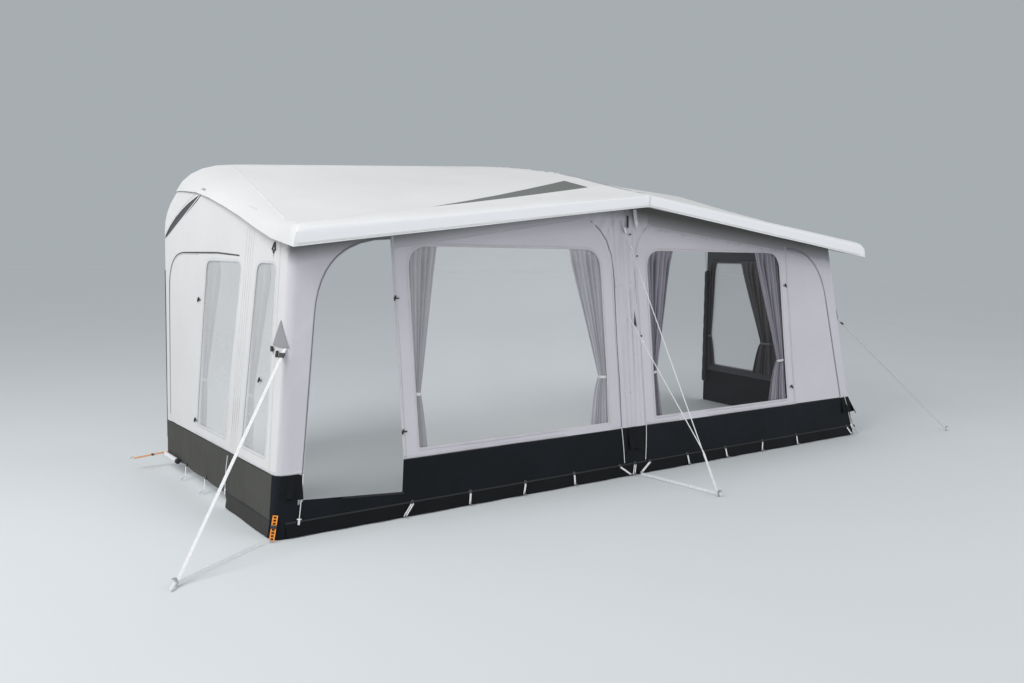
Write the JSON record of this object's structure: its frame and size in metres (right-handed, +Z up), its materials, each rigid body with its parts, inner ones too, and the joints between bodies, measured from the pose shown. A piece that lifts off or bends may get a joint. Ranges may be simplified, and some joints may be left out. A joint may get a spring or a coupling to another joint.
{
  "type": "caravan awning",
  "caption": "Full-width air-framed caravan awning with a gabled front canopy, clear windows with tied curtains, dark mud skirts, zipped door panels and storm straps to ground pegs.",
  "frame": {"origin": "On the ground, halfway across the awning and halfway between the caravan's side and the front edge of the canopy (bottom centre of the box, free cords left out).", "axes": "+X along the caravan to the right seen from the front, +Y towards the caravan, +Z up."},
  "size_m": [8.0112, 3.1242, 2.7306],
  "materials": {
    "roof_cloth": "coated white polyester, faint sheen",
    "wall_cloth": "light grey woven polyester",
    "side_cloth": "pale grey woven polyester",
    "inset_cloth": "dark grey woven polyester",
    "skirt_cloth": "black coated cloth, slight sheen",
    "window_film": "clear flexible film",
    "curtain_cloth": "soft pleated grey cloth",
    "beam_sleeve": "woven sleeve over an air tube",
    "foam_pad": "foam in a black cloth cover",
    "white_webbing": "woven white webbing and cord",
    "orange_webbing": "moulded orange ladder strap",
    "black_plastic": "moulded black",
    "white_plastic": "moulded white",
    "peg_steel": "zinc-plated steel"
  },
  "bodies": {
    "awning": {"air_beam_centre": "beam_sleeve", "air_beam_left": "beam_sleeve", "air_beam_right": "beam_sleeve", "canopy_beam": "beam_sleeve", "curtain_front_left_inner": "curtain_cloth", "curtain_front_left_outer": "curtain_cloth", "curtain_front_right_inner": "curtain_cloth", "curtain_front_right_outer": "curtain_cloth", "curtain_side_left_front": "curtain_cloth", "curtain_side_left_rear": "curtain_cloth", "curtain_side_right_middle": "curtain_cloth", "curtain_side_right_rear": "curtain_cloth", "door_header_left": "wall_cloth", "door_header_right": "wall_cloth", "front_canopy": "roof_cloth", "gusset_left": "side_cloth", "gusset_right": "side_cloth", "guy_centre_lower": "white_webbing", "guy_centre_upper": "white_webbing", "inflation_valve": "black_plastic", "leg_cover_centre": "wall_cloth", "leg_cover_left": "side_cloth", "leg_cover_right": "side_cloth", "peg_centre": "peg_steel", "peg_left": "peg_steel", "peg_right": "peg_steel", "peg_strap_front_left": "orange_webbing", "peg_strap_front_right": "orange_webbing", "peg_strap_rear_left": "orange_webbing", "peg_strap_rear_right": "orange_webbing", "rail_bead": "white_webbing", "rear_pad_left": "foam_pad", "rear_pad_right": "foam_pad", "roof_inset_left": "inset_cloth", "roof_inset_right": "inset_cloth", "roof_panel": "roof_cloth", "skirt_front_left": "skirt_cloth", "skirt_front_right": "skirt_cloth", "skirt_side_left": "skirt_cloth", "skirt_side_right": "skirt_cloth", "storm_strap_centre": "white_webbing", "storm_strap_left": "white_webbing", "storm_strap_right": "white_webbing", "wall_front_left": "wall_cloth", "wall_front_right": "wall_cloth", "wall_side_left": "side_cloth", "wall_side_right": "side_cloth", "window_front_left": "window_film", "window_front_right": "window_film", "window_side_left_front": "window_film", "window_side_left_rear": "window_film", "window_side_right_front": "window_film", "window_side_right_rear": "window_film"},
    "door_front_right": {"door_front_right": "wall_cloth"},
    "door_side_left": {"door_side_left": "side_cloth"},
    "valve_cap": {"valve_cap": "black_plastic"},
    "slider_left": {"slider_left": "black_plastic"},
    "slider_right": {"slider_right": "black_plastic"},
    "slider_centre_upper": {"slider_centre_upper": "white_plastic"},
    "slider_centre_lower": {"slider_centre_lower": "white_plastic"}
  },
  "joints": [
    {"name": "door_front_right_hinge", "type": "hinge", "parent": "awning", "child": "door_front_right", "pos_m": [2.173, -0.97093, 1.10034], "axis": [0, -0.1367, -0.9906], "range_deg": [0, 150]},
    {"name": "door_side_left_hinge", "type": "hinge", "parent": "awning", "child": "door_side_left", "pos_m": [-3.17988, 0.51025, 1.1002], "axis": [0.0497, 0.0047, 0.9988], "range_deg": [0, 110]},
    {"name": "valve_cap_hinge", "type": "hinge", "parent": "awning", "child": "valve_cap", "pos_m": [0, -0.92124, 0.45848], "axis": [1, 0, 0], "range_deg": [0, 110]},
    {"name": "slider_left_slide", "type": "slide", "parent": "awning", "child": "slider_left", "axis": [-0.5294, -0.3785, -0.7592], "range_m": [-0.02, 1.42]},
    {"name": "slider_right_slide", "type": "slide", "parent": "awning", "child": "slider_right", "axis": [0.6663, -0.3322, -0.6676], "range_m": [-0.02, 1.62]},
    {"name": "slider_centre_upper_slide", "type": "slide", "parent": "awning", "child": "slider_centre_upper", "axis": [0.0404, -0.4629, -0.8855], "range_m": [-0.15, 1.45]},
    {"name": "slider_centre_lower_slide", "type": "slide", "parent": "awning", "child": "slider_centre_lower", "axis": [0.0625, -0.6322, -0.7723], "range_m": [-0.18, 0.79]}
  ]
}
